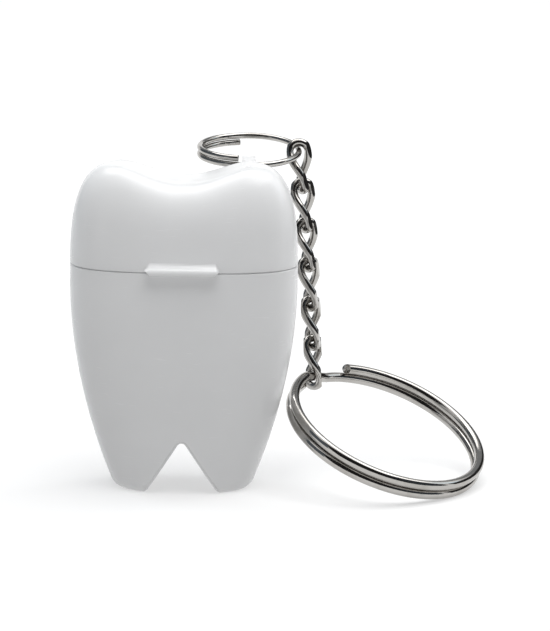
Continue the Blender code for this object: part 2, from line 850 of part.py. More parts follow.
def link_centre(index):
    """The middle of a link. Each hangs on the bend of the one before, and the
    first on the small ring."""
    half = link_inner_length() / 2
    centre = chain_start() + link_direction(0) * (half - SMALL_WIRE_DIAMETER / 2 - LINK_CLEARANCE)
    hang = half - LINK_WIRE_DIAMETER / 2 - LINK_CLEARANCE
    for i in range(index):
        bend = centre + link_direction(i) * (half + LINK_WIRE_DIAMETER / 2)
        centre = bend + link_direction(i + 1) * hang
    return centre


def link_frame(index, height=0.0):
    """A link's frame at a height over its middle along the chain: X is the way
    that its two strands lie apart there."""
    up = -link_direction(index)
    half = (link_inner_length() + LINK_WIRE_DIAMETER) / 2
    facing = LINK_FACING + LINK_FACING_STEP * index
    facing -= LINK_TWIST / 2 * math.sin(math.pi / 2 * height / half)
    level = Vector((math.cos(facing), math.sin(facing), 0))
    across = (level - up * level.dot(up)).normalized()
    back = up.cross(across)
    turn = Matrix((across, back, up)).transposed().to_4x4()
    return Matrix.Translation(link_centre(index) + up * height) @ turn


def link_points():
    """The middle of a link's wire: a stadium whose plane turns along it."""
    end_radius = (LINK_WIDTH - LINK_WIRE_DIAMETER) / 2
    half = (link_inner_length() + LINK_WIRE_DIAMETER) / 2
    straight = half - end_radius
    flat = []
    for sign in (1, -1):
        for i in range(11):
            angle = math.pi * i / 10
            flat.append(
                (
                    sign * end_radius * math.cos(angle),
                    sign * (straight + end_radius * math.sin(angle)),
                )
            )
        for share in (0.5, 0.0, -0.5):
            flat.append((-sign * end_radius, sign * straight * share))
    points = []
    for side, height in flat:
        turn = -LINK_TWIST / 2 * math.sin(math.pi / 2 * height / half)
        points.append(Vector((side * math.cos(turn), side * math.sin(turn), height)))
    return points


def make_chain(steel):
    """Six links of one shape, each with two faces filed flat."""
    origin_height = (link_inner_length() + LINK_WIRE_DIAMETER) / 2
    first = wire_object("chain_link_1", link_points(), LINK_WIRE_DIAMETER / 2, True, steel)
    bm = bmesh.new()
    bmesh.ops.create_cube(bm, size=1)
    reach = 2 * LINK_PITCH
    bmesh.ops.scale(bm, vec=(reach, LINK_FLAT_SPACING, reach), verts=bm.verts)
    add_boolean(first, helper("link_faces", bm), "INTERSECT")
    baked(first)
    first.data.transform(Matrix.Translation((0, 0, -origin_height)))
    links = [first]
    for index in range(1, LINK_COUNT):
        links.append(add_object(f"chain_link_{index + 1}", first.data, PART_COLLECTION))
    for index, link in enumerate(links):
        link.matrix_world = link_frame(index) @ Matrix.Translation((0, 0, origin_height))
    return links


def key_ring_radius():
    return (KEY_RING_DIAMETER - KEY_WIRE_DIAMETER) / 2


def key_ring_seat():
    """The middle of the key ring's wire where the last link holds it."""
    half = link_inner_length() / 2 - KEY_WIRE_DIAMETER / 2 - LINK_CLEARANCE
    return link_centre(LINK_COUNT - 1) + link_direction(LINK_COUNT - 1) * half


def key_ring_frame():
    """The ring leans on the surface: its slope brings its lowest coil to z = 0."""
    seat = key_ring_seat()
    radius = key_ring_radius()
    thickness = 2 * KEY_WIRE_DIAMETER + KEY_COIL_GAP
    across = math.cos(KEY_RING_PLACE_ANGLE)
    slope = 0.0
    for _ in range(30):
        level_loss = (thickness - KEY_WIRE_DIAMETER) / 2 * math.cos(slope)
        drop = seat.z - level_loss - KEY_WIRE_DIAMETER / 2
        slope = math.asin(min(1.0, drop / (radius * (1 + across))))
    heading = Vector((math.cos(KEY_RING_HEADING), math.sin(KEY_RING_HEADING), 0))
    downhill = heading * math.cos(slope) - Vector((0, 0, math.sin(slope)))
    side = Vector((0, 0, 1)).cross(heading)
    normal = downhill.cross(side)
    turn = Matrix((downhill, side, normal)).transposed().to_4x4()
    angle = math.pi + KEY_RING_PLACE_ANGLE
    held = turn @ Vector((radius * math.cos(angle), radius * math.sin(angle), 0))
    return Matrix.Translation(seat - held) @ turn


def make_key_ring(steel):
    """Nearly two turns. The wire is single where the last link holds it and
    steps there from one coil to the other."""
    spacing = KEY_WIRE_DIAMETER + KEY_COIL_GAP
    held = math.pi + KEY_RING_PLACE_ANGLE
    step_half = math.radians(14)
    start = held - 2 * math.pi + math.radians(11)
    end = held + 2 * math.pi - math.radians(24)
    points = coil_points(
        key_ring_radius(), start, end, spacing, held - step_half, held + step_half, 92
    )
    frame = key_ring_frame()
    origin = key_ring_seat()
    points = [frame @ p - origin for p in points]
    ring = wire_object("key_split_ring", points, KEY_WIRE_DIAMETER / 2, False, steel)
    ring.location = origin
    return ring


def make_part():
    clear_scene()
    white = make_material("white_plastic", (0.90, 0.90, 0.90), 0.22)
    inner_white = make_material("insert_plastic", (0.86, 0.87, 0.88), 0.35)
    bobbin_plastic = make_material("bobbin_plastic", (0.80, 0.82, 0.84), 0.40)
    floss = make_material("waxed_floss", (0.92, 0.91, 0.86), 0.60)
    nickel = make_material("nickel_steel", (0.72, 0.71, 0.69), 0.14, 1.0)
    pin_steel = make_material("pin_steel", (0.62, 0.62, 0.62), 0.30, 1.0)
    blade_steel = make_material("blade_steel", (0.70, 0.71, 0.72), 0.24, 1.0)

    make_body(white)
    lid = make_lid(white)
    make_hinge_pin(pin_steel)
    make_insert(inner_white)
    make_cutter_blade(blade_steel)
    bobbin = make_bobbin(bobbin_plastic)
    winding = make_winding(floss)
    small_ring = make_small_ring(nickel)
    links = make_chain(nickel)
    key_ring = make_key_ring(nickel)

    bpy.context.view_layer.update()
    carriers = [lid, small_ring, *links, key_ring]
    for carrier, carried in zip(carriers, carriers[1:]):
        place = carried.matrix_world.copy()
        carried.parent = carrier
        carried.matrix_parent_inverse = carrier.matrix_world.inverted()
        carried.matrix_world = place
        bpy.context.view_layer.update()
    winding.parent = bobbin
    for thing in bpy.data.objects:
        if thing.parent is None:
            thing.location = Vector(thing.location) + Vector(CASE_PLACE)


make_part()
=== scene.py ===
"""The looks of the tooth-shaped floss case on its chain and key ring: bright moulded
plastic and nickel-plated wire on a plain white surface. Metres, +Z up."""

import json
import math

import bmesh
import bpy
from mathutils import Matrix, Vector

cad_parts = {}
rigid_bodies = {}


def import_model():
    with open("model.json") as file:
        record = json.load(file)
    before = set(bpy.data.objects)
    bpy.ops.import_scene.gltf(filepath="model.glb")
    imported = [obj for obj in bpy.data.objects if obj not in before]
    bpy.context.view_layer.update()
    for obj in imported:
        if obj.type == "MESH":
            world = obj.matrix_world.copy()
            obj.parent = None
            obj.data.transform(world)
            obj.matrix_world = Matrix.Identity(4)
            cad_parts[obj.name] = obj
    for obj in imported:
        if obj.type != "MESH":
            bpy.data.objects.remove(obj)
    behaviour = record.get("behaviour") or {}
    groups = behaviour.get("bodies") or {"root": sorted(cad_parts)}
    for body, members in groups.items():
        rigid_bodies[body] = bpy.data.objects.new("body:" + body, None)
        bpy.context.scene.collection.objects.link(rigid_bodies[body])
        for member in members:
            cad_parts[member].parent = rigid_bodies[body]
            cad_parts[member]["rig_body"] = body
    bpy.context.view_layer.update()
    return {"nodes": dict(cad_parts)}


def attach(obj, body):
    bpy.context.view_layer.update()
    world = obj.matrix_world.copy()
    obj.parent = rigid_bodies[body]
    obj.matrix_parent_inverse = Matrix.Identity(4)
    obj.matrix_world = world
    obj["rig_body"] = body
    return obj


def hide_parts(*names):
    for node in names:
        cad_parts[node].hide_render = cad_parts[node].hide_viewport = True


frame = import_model()
scene = bpy.context.scene

MM = 0.001

# The tooth: its middle in the part's frame, and its form from the feet to the crown.
# These sizes and the wire pieces' are the solids' own.
CASE = Vector((-12.97, -6.52, 0)) * MM
TOOTH_WIDTH = 30.4 * MM
TOOTH_DEPTH = 16.8 * MM
PLAN_POWER = 2.7
FOOT_ROUNDING = 1.3 * MM
BELLY = 28.1 * MM
ROOT_TAPER = 0.397
ROOT_TAPER_POWER = 1.93
SEAM = 30.7 * MM
SHOULDER = 29.3 * MM
CROWN_TOP = 43.9 * MM
CROWN_FLAT = 0.57
CROWN_POWER = 2.85
VALLEY_DROP = 2.2 * MM
VALLEY_POWER = 1.4
VALLEY_FADE = 3
HINGE_REACH = 5.6 * MM
HINGE_FRONT = 6.5 * MM

# Where the photograph shows more than the solids have: a crown that leans back further in
# front, a hairline of a seam, a lower and thinner thumb tab, links that are filed deeper,
# and a key ring whose upper end is cut at a slant
FRONT_FLAT = 0.3
FRONT_POWER = 2.2
SEAM_CLOSING = 0.13 * MM
RIM_BAND = 0.4 * MM
TAB_REACH = 5.1 * MM
TAB_FRONT = -9.0 * MM
TAB_MIDDLE = 31.4 * MM
TAB_TOP = 32.5 * MM
TAB_DROP = 0.25 * MM
TAB_THINNING = 0.5
TAB_SLOPE = 0.5
LINK_FLATS = 2.3 * MM
END_SLANT = 0.6
END_FACING = (0, -1, 0.2)

# Small ring and the ear that it passes through
COIL_GAP = 0.08 * MM
SMALL_DIAMETER = 14.5 * MM
SMALL_WIRE = 0.85 * MM
SMALL_RADIUS = (SMALL_DIAMETER - SMALL_WIRE) / 2
SMALL_SPACING = SMALL_WIRE + COIL_GAP
SMALL_TILT = math.radians(4.8)
SMALL_SPARE = math.radians(12)
SMALL_CLIMB_START = 1.5 * math.pi + SMALL_SPARE
SMALL_CLIMB_END = 2.5 * math.pi
SMALL_STEPS = 160
SMALL_CRISPNESS = 0.05 * MM
CHAIN_PLACE = math.radians(3)
EAR_BACK = 9.4 * MM
EAR_HEIGHT = 42.35 * MM
EAR = Vector((TOOTH_WIDTH / 2 - SMALL_RADIUS * math.cos(CHAIN_PLACE), EAR_BACK, EAR_HEIGHT))

# Curb chain
LINKS = 6
LINK_WIRE = 1.12 * MM
LINK_WIDTH = 3.8 * MM
LINK_PITCH = 5.42 * MM
LINK_PLAY = 0.15 * MM
LINK_INNER = LINK_PITCH + LINK_PLAY
LINK_HALF = (LINK_INNER + LINK_WIRE) / 2
LINK_TWIST = math.radians(112)
LINK_BEND_STEPS = 28
LINK_SIDE_STEPS = 5
LINK_FACING = math.radians(240)
LINK_FACING_STEP = math.radians(5)
LEAN_FORWARD = math.radians(10.7)
LEAN_OUT = math.radians(6.3)
LEAN_STEP = math.radians(0.7)

# Key ring
KEY_DIAMETER = 28.3 * MM
KEY_WIRE = 1.37 * MM
KEY_RADIUS = (KEY_DIAMETER - KEY_WIRE) / 2
KEY_SPACING = KEY_WIRE + COIL_GAP
KEY_HEADING = math.radians(-39.7)
KEY_PLACE = math.radians(3)
KEY_CLIMB = math.radians(14)
KEY_LOWER_SPARE = math.radians(11)
KEY_UPPER_SPARE = math.radians(24)
KEY_STEPS = 320
KEY_CRISPNESS = 0.08 * MM

# How finely the shapes are joined, solved and shaded
JOIN = 0.002 * MM
CUT_JOIN = 0.001 * MM
WIRE_JOIN = 0.01
END_REACH = 1.05
END_DEPTH = 0.02
NORMAL_STEP = 0.01 * MM
SKIN_BAND = 0.05
CROWN_ROUNDS = 12
SLOPE_ROUNDS = 30
SHARP = math.radians(35)
FLATS_SHARP = math.radians(30)
CRISP = math.radians(50)
BODY_SKIN_TURN = math.radians(12)
LID_SKIN_TURN = math.radians(30)


# Node trees

def new_group(name, inputs, outputs):
    """A shader node group with named sockets; inputs are (name, kind, value)."""
    group = bpy.data.node_groups.new(name, "ShaderNodeTree")
    for label, kind, value in inputs:
        socket = group.interface.new_socket(label, in_out="INPUT", socket_type=kind)
        if value is not None:
            socket.default_value = value
    for label, kind in outputs:
        group.interface.new_socket(label, in_out="OUTPUT", socket_type=kind)
    return group, group.nodes.new("NodeGroupInput"), group.nodes.new("NodeGroupOutput")


def node(tree, kind, place, **settings):
    """A new node; each setting is an input's value or else one of the node's own."""
    made = tree.nodes.new(kind)
    made.location = place
    for key, value in settings.items():
        if key in made.inputs:
            made.inputs[key].default_value = value
        else:
            setattr(made, key, value)
    return made


def spread(tree, place, low, high, least=0.0, most=1.0):
    """Spreads what lies between low and high from least to most."""
    made = node(tree, "ShaderNodeMapRange", place)
    for key, value in (("From Min", low), ("From Max", high), ("To Min", least), ("To Max", most)):
        made.inputs[key].default_value = value
    return made


def scaled_sum(tree, place, factor, offset=None):
    """The first input times a factor, plus the third input or an offset."""
    made = node(tree, "ShaderNodeMath", place, operation="MULTIPLY_ADD")
    made.inputs[1].default_value = factor
    if offset is not None:
        made.inputs[2].default_value = offset
    return made


def link(tree, *wires):
    """Joins the nodes' sockets, each wire from an output to an input."""
    for start, end in wires:
        tree.links.new(start, end)


def moulded_skin_group():
    """Faint waviness, hairline scratches and uneven gloss of moulded plastic."""
    group, enter, leave = new_group(
        "moulded_skin",
        [("Vector", "NodeSocketVector", None), ("Wear", "NodeSocketFloat", 1.0)],
        [
            ("Roughness", "NodeSocketFloat"),
            ("Normal", "NodeSocketVector"),
            ("Tint", "NodeSocketFloat"),
        ],
    )
    wave = node(group, "ShaderNodeTexNoise", (-700, 200), Scale=180.0, Detail=2.0)
    fine = node(group, "ShaderNodeTexNoise", (-700, -50), Scale=2600.0, Detail=3.0)
    stretch = node(
        group, "ShaderNodeMapping", (-900, -300), Scale=(1.0, 1.0, 14.0), Rotation=(0.3, 0.5, 0.2)
    )
    scratch = node(group, "ShaderNodeTexNoise", (-700, -300), Scale=420.0, Detail=6.0)
    thin = spread(group, (-500, -300), low=0.66, high=0.74)
    gloss = spread(group, (-500, -50), low=0.3, high=0.7, least=0.20, most=0.27)
    tint = spread(group, (-100, 350), low=0.35, high=0.65, least=0.985)
    worn = node(group, "ShaderNodeMath", (-300, -300), operation="MULTIPLY")
    rough = scaled_sum(group, (-100, -100), factor=0.12)
    height = scaled_sum(group, (-300, 150), factor=0.05)
    bump = node(group, "ShaderNodeBump", (-100, 150), Strength=0.05, Distance=0.0004)
    link(
        group,
        (enter.outputs["Vector"], wave.inputs["Vector"]),
        (enter.outputs["Vector"], fine.inputs["Vector"]),
        (enter.outputs["Vector"], stretch.inputs["Vector"]),
        (stretch.outputs[0], scratch.inputs["Vector"]),
        (scratch.outputs[0], thin.inputs["Value"]),
        (thin.outputs[0], worn.inputs[0]),
        (enter.outputs["Wear"], worn.inputs[1]),
        (wave.outputs[0], gloss.inputs["Value"]),
        (worn.outputs[0], rough.inputs[0]),
        (gloss.outputs[0], rough.inputs[2]),
        (fine.outputs[0], height.inputs[0]),
        (wave.outputs[0], height.inputs[2]),
        (height.outputs[0], bump.inputs["Height"]),
        (wave.outputs[0], tint.inputs["Value"]),
        (rough.outputs[0], leave.inputs["Roughness"]),
        (bump.outputs[0], leave.inputs["Normal"]),
        (tint.outputs[0], leave.inputs["Tint"]),
    )
    return group


def plated_wire_group():
    """Handling marks, small pits and uneven shine of nickel-plated wire."""
    group, enter, leave = new_group(
        "plated_wire",
        [("Vector", "NodeSocketVector", None), ("Wear", "NodeSocketFloat", 1.0)],
        [
            ("Roughness", "NodeSocketFloat"),
            ("Normal", "NodeSocketVector"),
            ("Dull", "NodeSocketFloat"),
        ],
    )
    broad = node(group, "ShaderNodeTexNoise", (-700, 250), Scale=320.0, Detail=4.0)
    pits = node(group, "ShaderNodeTexVoronoi", (-700, 0), Scale=2200.0)
    drawn = node(group, "ShaderNodeTexNoise", (-700, -250), Scale=3800.0, Detail=5.0)
    pit = spread(group, (-500, 0), low=0.0, high=0.16)
    dull = spread(group, (-500, 250), low=0.45, high=0.72)
    worn = node(group, "ShaderNodeMath", (-300, 250), operation="MULTIPLY")
    rough = scaled_sum(group, (-100, 250), factor=0.16, offset=0.07)
    height = scaled_sum(group, (-300, -100), factor=0.6)
    bump = node(group, "ShaderNodeBump", (-100, -50), Strength=0.12, Distance=0.00006)
    link(
        group,
        (enter.outputs["Vector"], broad.inputs["Vector"]),
        (enter.outputs["Vector"], pits.inputs["Vector"]),
        (enter.outputs["Vector"], drawn.inputs["Vector"]),
        (broad.outputs[0], dull.inputs["Value"]),
        (dull.outputs[0], worn.inputs[0]),
        (enter.outputs["Wear"], worn.inputs[1]),
        (worn.outputs[0], rough.inputs[0]),
        (pits.outputs[0], pit.inputs["Value"]),
        (drawn.outputs[0], height.inputs[0]),
        (pit.outputs[0], height.inputs[2]),
        (height.outputs[0], bump.inputs["Height"]),
        (rough.outputs[0], leave.inputs["Roughness"]),
        (bump.outputs[0], leave.inputs["Normal"]),
        (worn.outputs[0], leave.inputs["Dull"]),
    )
    return group


# Materials

MOULDED = moulded_skin_group()
PLATED = plated_wire_group()


def blank_material(name):
    material = bpy.data.materials.new(name)
    material.use_nodes = True
    return material, material.node_tree


def skinned_material(name, effect, wear, rough_lift):
    """A material with a skin effect's relief and gloss, and with its colour from a mix."""
    material, tree = blank_material(name)
    shader = tree.nodes["Principled BSDF"]
    coords = node(tree, "ShaderNodeTexCoord", (-900, 0))
    skin = node(tree, "ShaderNodeGroup", (-600, 0), node_tree=effect)
    skin.inputs["Wear"].default_value = wear
    shade = node(tree, "ShaderNodeMix", (-250, 200), data_type="RGBA")
    lift = node(tree, "ShaderNodeMath", (-250, -50), operation="ADD")
    lift.inputs[1].default_value = rough_lift
    link(
        tree,
        (coords.outputs["Object"], skin.inputs["Vector"]),
        (shade.outputs["Result"], shader.inputs["Base Color"]),
        (skin.outputs["Roughness"], lift.inputs[0]),
        (lift.outputs[0], shader.inputs["Roughness"]),
        (skin.outputs["Normal"], shader.inputs["Normal"]),
    )
    return material, shader, skin, shade


def plastic(name, colour, wear=1.0, subsurface=0.0, rough_lift=0.0):
    material, shader, skin, shade = skinned_material(name, MOULDED, wear, rough_lift)
    shade.blend_type = "MULTIPLY"
    shade.inputs["Factor"].default_value = 1.0
    shade.inputs["A"].default_value = (*colour, 1)
    link(material.node_tree, (skin.outputs["Tint"], shade.inputs["B"]))
    shader.inputs["Subsurface Weight"].default_value = subsurface
    shader.inputs["Subsurface Radius"].default_value = (1.0, 1.0, 1.0)
    shader.inputs["Subsurface Scale"].default_value = 1.5 * MM
    shader.inputs["IOR"].default_value = 1.48
    return material


def metal(name, colour, dull_colour, wear=1.0, rough_lift=0.0):
    material, shader, skin, shade = skinned_material(name, PLATED, wear, rough_lift)
    shade.inputs["A"].default_value = (*colour, 1)
    shade.inputs["B"].default_value = (*dull_colour, 1)
    link(material.node_tree, (skin.outputs["Dull"], shade.inputs["Factor"]))
    shader.inputs["Metallic"].default_value = 1.0
    return material


case_white = plastic("case_white", (0.855, 0.858, 0.862), subsurface=0.25)
insert_white = plastic("insert_white", (0.80, 0.82, 0.83), wear=0.5, rough_lift=0.12)
bobbin_white = plastic("bobbin_white", (0.74, 0.77, 0.80), wear=0.3, rough_lift=0.15)
nickel = metal("nickel", (0.47, 0.455, 0.435), (0.36, 0.345, 0.32))
pin_steel = metal("pin_steel", (0.66, 0.66, 0.66), (0.5, 0.5, 0.5), rough_lift=0.15)
blade_steel = metal("blade_steel", (0.72, 0.73, 0.74), (0.6, 0.6, 0.6), rough_lift=0.10)
floss_wax = plastic("floss_wax", (0.86, 0.85, 0.80), wear=0.0, rough_lift=0.35)

CHAIN = [f"chain_link_{i + 1}" for i in range(LINKS)]
WIRED = [*CHAIN, "small_split_ring", "key_split_ring"]
FINISHES = {
    "body": case_white,
    "lid": case_white,
    "insert_frame": insert_white,
    "bobbin": bobbin_white,
    "floss_winding": floss_wax,
    "hinge_pin": pin_steel,
    "cutter_blade": blade_steel,
    **{name: nickel for name in WIRED},
}


# The tooth's form

def plan_share(x, y):
    """The share of the tooth's widest level section that passes through a place."""
    across = (abs(x) / (TOOTH_WIDTH / 2)) ** PLAN_POWER
    along = (abs(y) / (TOOTH_DEPTH / 2)) ** PLAN_POWER
    return (across + along) ** (1 / PLAN_POWER)


def root_level(x, y, z):
    """One on the tooth's skin under the seam, less inside it and more outside."""
    share = 1 - ROOT_TAPER * max(0.0, 1 - z / BELLY) ** ROOT_TAPER_POWER
    return plan_share(x, y) / share


def crown_rise(x, z):
    """How far up the crown a place on its skin is, from 0 at the shoulder to 1 on top."""
    reach = min(1.0, abs(x) / (CROWN_FLAT * TOOTH_WIDTH / 2))
    dip = VALLEY_DROP * math.cos(math.pi / 2 * reach) ** VALLEY_POWER
    rise = (z - SHOULDER) / (CROWN_TOP - SHOULDER)
    for _ in range(CROWN_ROUNDS):
        rise = (z - SHOULDER + dip * rise**VALLEY_FADE) / (CROWN_TOP - SHOULDER)
    return max(0.0, rise)


def bow(rise, flat, power):
    """The share of the widest section that is left at a rise of a round crown."""
    return flat + (1 - flat) * (1 - min(1.0, rise) ** power) ** (1 / power)


def front_share(x, z):
    """How far the crown's front lies back from an even bow, as in the photograph."""
    rise = crown_rise(x, z)
    return bow(rise, FRONT_FLAT, FRONT_POWER) / bow(rise, CROWN_FLAT, CROWN_POWER)


def crown_level(x, y, z):
    """One on the tooth's skin over the seam, less inside it and more outside."""
    if y < 0:
        y /= front_share(x, z)
    side = max(0.0, (plan_share(x, y) - CROWN_FLAT) / (1 - CROWN_FLAT))
    return side**CROWN_POWER + crown_rise(x, z) ** CROWN_POWER


def skin_normal(place, level):
    """The way that the tooth's skin faces at a place on it."""
    slope = []
    for axis in range(3):
        ahead, behind = place.copy(), place.copy()
        ahead[axis] += NORMAL_STEP
        behind[axis] -= NORMAL_STEP
        slope.append(level(*ahead) - level(*behind))
    return Vector(slope).normalized()


def true_normals(mesh, level, lowest, widest):
    """Shades a half's skin by its true form, right up to the cut edges."""
    normals = [Vector(corner.vector) for corner in mesh.corner_normals]
    for face in mesh.polygons:
        for corner in face.loop_indices:
            place = mesh.vertices[mesh.loops[corner].vertex_index].co - CASE
            if place.z < lowest or abs(level(*place) - 1) > SKIN_BAND:
                continue
            facing = skin_normal(place, level)
            if facing.dot(face.normal) > math.cos(widest):
                normals[corner] = facing
    mesh.normals_split_custom_set([tuple(way) for way in normals])


# Pieces that keep their solid's shape

def close_seam(bm, way):
    """Brings a half's rim close to the other's, so that the seam is a hairline."""
    for vert in bm.verts:
        x, y, z = vert.co - CASE
        by_hinge = abs(x) < HINGE_REACH and y > HINGE_FRONT
        if abs(z - SEAM) < RIM_BAND and not by_hinge:
            vert.co.z += way * SEAM_CLOSING


def shape_tab(bm):
    """Lowers the thumb tab's front over the seam and thins its upper half."""
    for vert in bm.verts:
        x, y, z = vert.co - CASE
        if abs(x) < TAB_REACH and y < TAB_FRONT and z < TAB_TOP:
            over = max(0.0, z - TAB_MIDDLE)
            vert.co.y += TAB_SLOPE * over
            vert.co.z -= TAB_DROP + TAB_THINNING * over


def round_front(bm):
    """Leans the front of the crown back."""
    for vert in bm.verts:
        x, y, z = vert.co - CASE
        if y < 0 and z > SEAM:
            vert.co.y = CASE.y + y * front_share(x, z)


def finish_mesh(bm, mesh, sharp=SHARP):
    """Writes the shape to its mesh, smooth but for the sharp edges."""
    bm.to_mesh(mesh)
    bm.free()
    mesh.shade_smooth()
    mesh.set_sharp_from_angle(angle=sharp)
    return mesh


def smooth_copy(name):
    """The CAD node's shape with its corners merged and its round parts smooth."""
    source = frame["nodes"][name]
    bm = bmesh.new()
    bm.from_mesh(source.data)
    bmesh.ops.remove_doubles(bm, verts=bm.verts, dist=JOIN)
    bmesh.ops.recalc_face_normals(bm, faces=bm.faces)
    if name in ("body", "lid"):
        close_seam(bm, 1 if name == "body" else -1)
    if name == "lid":
        shape_tab(bm)
        round_front(bm)
    mesh = finish_mesh(bm, bpy.data.meshes.new(f"{name}_skin"))
    if name == "body":
        true_normals(mesh, root_level, FOOT_ROUNDING, BODY_SKIN_TURN)
    elif name == "lid":
        true_normals(mesh, crown_level, SEAM, LID_SKIN_TURN)
    mesh.materials.clear()
    mesh.materials.append(FINISHES[name])
    made = bpy.data.objects.new(f"{name}_skin", mesh)
    scene.collection.objects.link(made)
    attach(made, source["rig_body"])
    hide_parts(name)


# Wire pieces, made round and smooth in the tooth's own frame

def smooth_step(value):
    value = min(1.0, max(0.0, value))
    return value * value * (3 - 2 * value)


def on_circle(radius, angle, z=0.0):
    return Vector((radius * math.cos(angle), radius * math.sin(angle), z))


def coil(radius, start, end, spacing, climb_start, climb_end, steps):
    """A flat coil that climbs from one turn to the next between two angles."""
    points = []
    for i in range(steps + 1):
        angle = start + (end - start) * i / steps
        level = smooth_step((angle - climb_start) / (climb_end - climb_start)) - 0.5
        points.append(on_circle(radius, angle, spacing * level))
    return points


def wire_mesh(name, points, radius, closed=False, resolution=5):
    """A round wire through points, as a bmesh, and the mesh that it goes back to."""
    curve = bpy.data.curves.new(name, "CURVE")
    curve.dimensions = "3D"
    curve.bevel_depth = radius
    curve.bevel_resolution = resolution
    curve.use_fill_caps = not closed
    curve.twist_mode = "MINIMUM"
    spline = curve.splines.new("POLY")
    spline.points.add(len(points) - 1)
    for spot, point in zip(spline.points, points):
        spot.co = (*point, 1)
    spline.use_cyclic_u = closed
    drawn = bpy.data.objects.new(name, curve)
    scene.collection.objects.link(drawn)
    graph = bpy.context.evaluated_depsgraph_get()
    graph.update()
    mesh = bpy.data.meshes.new_from_object(drawn.evaluated_get(graph))
    bpy.data.objects.remove(drawn, do_unlink=True)
    mesh.materials.clear()
    bm = bmesh.new()
    bm.from_mesh(mesh)
    bmesh.ops.remove_doubles(bm, verts=bm.verts, dist=radius * WIRE_JOIN)
    bmesh.ops.recalc_face_normals(bm, faces=bm.faces)
    return bm, mesh


def soften(bm, width):
    """Rounds the crisp edges a little, so that they catch the light."""
    edges = [e for e in bm.edges if e.is_manifold and e.calc_face_angle() > CRISP]
    bmesh.ops.bevel(
        bm, geom=edges, offset=width, offset_type="OFFSET", segments=2, profile=0.5,
        affect="EDGES", clamp_overlap=True, material=-1,
    )


def shear_end(bm, end, before, radius, place):
    """Cuts a wire's end at a slant that faces the front."""
    along = (end - before).normalized()
    front = place.to_3x3().inverted() @ Vector(END_FACING).normalized()
    slant = (front - along * front.dot(along)).normalized()
    for vert in bm.verts:
        reach = vert.co - end
        if reach.length < radius * END_REACH and abs(reach.dot(along)) < radius * END_DEPTH:
            vert.co -= along * (reach.dot(slant) + radius) * END_SLANT


def add_piece(name, mesh, place, node_name):
    """Puts a finished mesh at its place on the tooth, in the stead of a CAD node."""
    mesh.transform(Matrix.Translation(CASE) @ place)
    mesh.materials.append(FINISHES[node_name])
    made = bpy.data.objects.new(name, mesh)
    scene.collection.objects.link(made)
    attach(made, frame["nodes"][node_name]["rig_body"])
    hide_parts(node_name)


def small_ring_frame():
    """The small ring's own frame, with its centre behind the ear and its rear raised."""
    tilt = Matrix.Rotation(SMALL_TILT, 4, "X")
    return Matrix.Translation(EAR + tilt @ Vector((0, SMALL_RADIUS, 0))) @ tilt


def make_small_ring():
    """One and a half turns, from low at the back past the ear to high beside it."""
    points = coil(
        SMALL_RADIUS, math.pi / 2 + SMALL_SPARE, 3.5 * math.pi - SMALL_SPARE, SMALL_SPACING,
        SMALL_CLIMB_START, SMALL_CLIMB_END, SMALL_STEPS,
    )
    bm, mesh = wire_mesh("small_split_ring", points, SMALL_WIRE / 2)
    soften(bm, SMALL_CRISPNESS)
    place = small_ring_frame() @ Matrix.Translation((0, 0, SMALL_SPACING / 2))
    add_piece("small_split_ring_skin", finish_mesh(bm, mesh), place, "small_split_ring")


def chain_start():
    """The middle of the small ring's wire where the first link hangs on it."""
    climbed = 2 * math.pi + CHAIN_PLACE - SMALL_CLIMB_START
    share = smooth_step(climbed / (SMALL_CLIMB_END - SMALL_CLIMB_START))
    return small_ring_frame() @ on_circle(SMALL_RADIUS, CHAIN_PLACE, SMALL_SPACING * share)


def hang(wire):
    """How far the middles of a link and of a wire through its bend lie apart."""
    return LINK_INNER / 2 - wire / 2 - LINK_PLAY


def link_way(index):
    """Down a link of the chain."""
    out = math.tan(LEAN_OUT - LEAN_STEP * index)
    return Vector((out, -math.tan(LEAN_FORWARD), -1)).normalized()


def link_middle(index):
    """A link's middle: the first hangs on the small ring, the others on the one above."""
    centre = chain_start() + link_way(0) * hang(SMALL_WIRE)
    for i in range(index):
        bend = centre + link_way(i) * LINK_HALF
        centre = bend + link_way(i + 1) * hang(LINK_WIRE)
    return centre


def link_frame(index):
    """A link's own frame, with Z up along it."""
    up = -link_way(index)
    level = on_circle(1, LINK_FACING + LINK_FACING_STEP * index)
    across = (level - up * level.dot(up)).normalized()
    turn = Matrix((across, up.cross(across), up)).transposed().to_4x4()
    return Matrix.Translation(link_middle(index)) @ turn


def link_wire():
    """The middle of a link's wire: a stadium whose plane turns along it."""
    bend = (LINK_WIDTH - LINK_WIRE) / 2
    straight = LINK_HALF - bend
    flat = []
    for sign in (1, -1):
        for i in range(LINK_BEND_STEPS + 1):
            angle = math.pi * i / LINK_BEND_STEPS
            flat.append((sign * bend * math.cos(angle), sign * (straight + bend * math.sin(angle))))
        for i in range(1, 2 * LINK_SIDE_STEPS):
            flat.append((-sign * bend, sign * straight * (1 - i / LINK_SIDE_STEPS)))
    points = []
    for side, height in flat:
        turn = -LINK_TWIST / 2 * math.sin(math.pi / 2 * height / LINK_HALF)
        points.append(on_circle(side, turn, height))
    return points


def link_mesh():
    """One link of the curb chain, with its two faces filed flat."""
    bm, mesh = wire_mesh("link", link_wire(), LINK_WIRE / 2, closed=True)
    for side in (1, -1):
        cut = bmesh.ops.bisect_plane(
            bm, geom=bm.verts[:] + bm.edges[:] + bm.faces[:], dist=CUT_JOIN,
            plane_co=(0, side * LINK_FLATS / 2, 0), plane_no=(0, side, 0), clear_outer=True,
        )
        rim = [e for e in cut["geom_cut"] if isinstance(e, bmesh.types.BMEdge)]
        bmesh.ops.edgeloop_fill(bm, edges=rim)
    return finish_mesh(bm, mesh, FLATS_SHARP)


